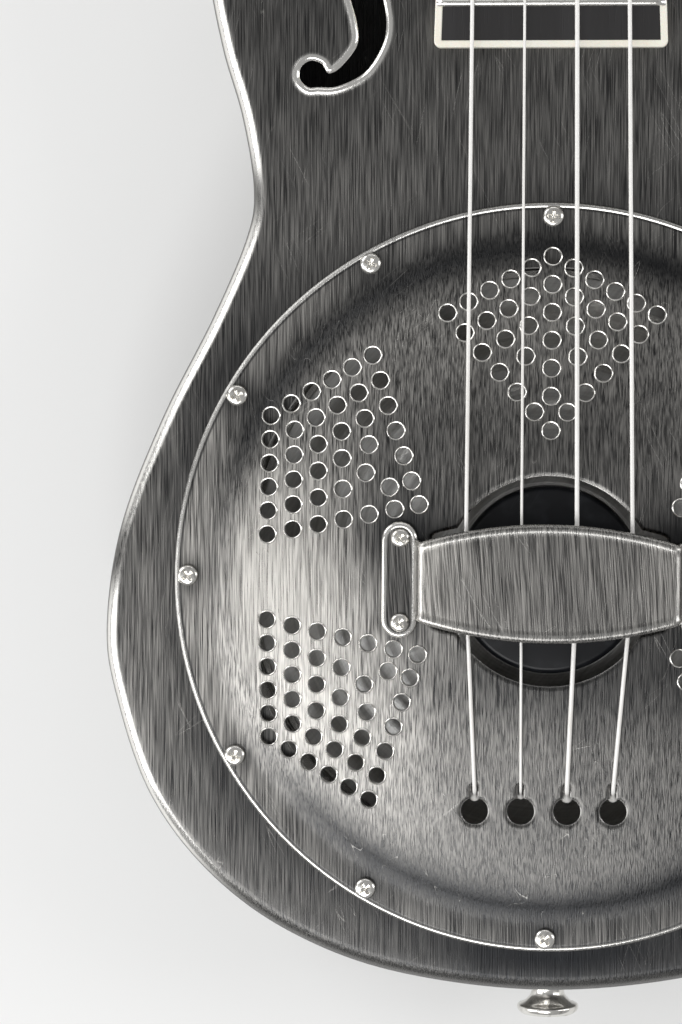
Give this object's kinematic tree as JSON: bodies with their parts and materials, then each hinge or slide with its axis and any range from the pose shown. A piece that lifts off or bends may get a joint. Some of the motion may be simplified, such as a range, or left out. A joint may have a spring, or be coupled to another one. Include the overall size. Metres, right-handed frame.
{
  "type": "resonator ukulele",
  "caption": "Ukulele with a brushed sheet-metal body, a perforated domed coverplate over a spun cone, f-holes, bound fretboard and open-geared tuners.",
  "frame": {"origin": "centre of the bounding box in X and Y, on the plane that the back of the body lies on", "axes": "+X to the player's-view right of the face, +Y from the tail to the headstock, +Z out of the face"},
  "size_m": [0.2228, 0.6166, 0.076],
  "materials": {
    "antique_nickel": "brushed and darkened nickel plate, satin",
    "inner_nickel": "plain nickel plate, satin",
    "bright_nickel": "polished nickel plate",
    "spun_aluminium": "spun, with fine turning lines",
    "black_lacquer": "black lacquered wood, semi-gloss",
    "saddle_maple": "close-grained, oiled",
    "stick_maple": "plain sanded",
    "neck_mahogany": "open grain, satin lacquer",
    "blackwood": "near-black, oiled",
    "ivory_binding": "ivory celluloid, polished",
    "bone": "bone, lightly polished",
    "string_nylon": "drawn nylon, pale",
    "gear_brass": "cut brass, oiled",
    "pearl_button": "pearly celluloid, polished"
  },
  "bodies": {
    "instrument": {"body_top": "antique_nickel", "body_sides": "antique_nickel", "body_back": "antique_nickel", "sound_well": "inner_nickel", "resonator_cone": "spun_aluminium", "biscuit": "black_lacquer", "saddle": "saddle_maple", "coverplate": "antique_nickel", "hand_rest": "antique_nickel", "neck_stick": "stick_maple", "neck": "neck_mahogany", "fretboard": "blackwood", "fretboard_binding": "ivory_binding", "nut": "bone", "strap_button": "bright_nickel", "strap_button_screw": "bright_nickel", "string_g": "string_nylon", "string_c": "string_nylon", "string_e": "string_nylon", "string_a": "string_nylon", "coverplate_screw_01": "bright_nickel", "coverplate_screw_02": "bright_nickel", "coverplate_screw_03": "bright_nickel", "coverplate_screw_04": "bright_nickel", "coverplate_screw_05": "bright_nickel", "coverplate_screw_06": "bright_nickel", "coverplate_screw_07": "bright_nickel", "coverplate_screw_08": "bright_nickel", "coverplate_screw_09": "bright_nickel", "coverplate_screw_10": "bright_nickel", "coverplate_screw_11": "bright_nickel", "coverplate_screw_12": "bright_nickel", "hand_rest_screw_1": "bright_nickel", "hand_rest_screw_2": "bright_nickel", "hand_rest_screw_3": "bright_nickel", "hand_rest_screw_4": "bright_nickel", "tuner_g_plate": "bright_nickel", "tuner_g_bushing": "bright_nickel", "tuner_c_plate": "bright_nickel", "tuner_c_bushing": "bright_nickel", "tuner_e_plate": "bright_nickel", "tuner_e_bushing": "bright_nickel", "tuner_a_plate": "bright_nickel", "tuner_a_bushing": "bright_nickel"},
    "tuner_g_button": {"tuner_g_worm": "bright_nickel", "tuner_g_button": "pearl_button"},
    "tuner_g_post": {"tuner_g_post": "bright_nickel", "tuner_g_gear": "gear_brass"},
    "tuner_c_button": {"tuner_c_worm": "bright_nickel", "tuner_c_button": "pearl_button"},
    "tuner_c_post": {"tuner_c_post": "bright_nickel", "tuner_c_gear": "gear_brass"},
    "tuner_e_button": {"tuner_e_worm": "bright_nickel", "tuner_e_button": "pearl_button"},
    "tuner_e_post": {"tuner_e_post": "bright_nickel", "tuner_e_gear": "gear_brass"},
    "tuner_a_button": {"tuner_a_worm": "bright_nickel", "tuner_a_button": "pearl_button"},
    "tuner_a_post": {"tuner_a_post": "bright_nickel", "tuner_a_gear": "gear_brass"}
  },
  "joints": [
    {"name": "tuner_g_button_turn", "type": "hinge", "parent": "instrument", "child": "tuner_g_button", "pos_m": [-0.018, 0.21702, 0.03647], "axis": [1, 0, 0], "continuous": true},
    {"name": "tuner_g_post_turn", "type": "hinge", "parent": "instrument", "child": "tuner_g_post", "pos_m": [-0.018, 0.22615, 0.05293], "axis": [0, 0.2079, 0.9781], "continuous": true},
    {"name": "tuner_c_button_turn", "type": "hinge", "parent": "instrument", "child": "tuner_c_button", "pos_m": [-0.018, 0.25615, 0.02815], "axis": [1, 0, 0], "continuous": true},
    {"name": "tuner_c_post_turn", "type": "hinge", "parent": "instrument", "child": "tuner_c_post", "pos_m": [-0.018, 0.26527, 0.04461], "axis": [0, 0.2079, 0.9781], "continuous": true},
    {"name": "tuner_e_button_turn", "type": "hinge", "parent": "instrument", "child": "tuner_e_button", "pos_m": [0.018, 0.25615, 0.02815], "axis": [1, 0, 0], "continuous": true},
    {"name": "tuner_e_post_turn", "type": "hinge", "parent": "instrument", "child": "tuner_e_post", "pos_m": [0.018, 0.26527, 0.04461], "axis": [0, 0.2079, 0.9781], "continuous": true},
    {"name": "tuner_a_button_turn", "type": "hinge", "parent": "instrument", "child": "tuner_a_button", "pos_m": [0.018, 0.21702, 0.03647], "axis": [1, 0, 0], "continuous": true},
    {"name": "tuner_a_post_turn", "type": "hinge", "parent": "instrument", "child": "tuner_a_post", "pos_m": [0.018, 0.22615, 0.05293], "axis": [0, 0.2079, 0.9781], "continuous": true}
  ],
  "couplings": [
    {"joint": "tuner_g_post_turn", "follows": "tuner_g_button_turn", "ratio": 0.071429},
    {"joint": "tuner_c_post_turn", "follows": "tuner_c_button_turn", "ratio": 0.071429},
    {"joint": "tuner_e_post_turn", "follows": "tuner_e_button_turn", "ratio": -0.071429},
    {"joint": "tuner_a_post_turn", "follows": "tuner_a_button_turn", "ratio": -0.071429}
  ]
}
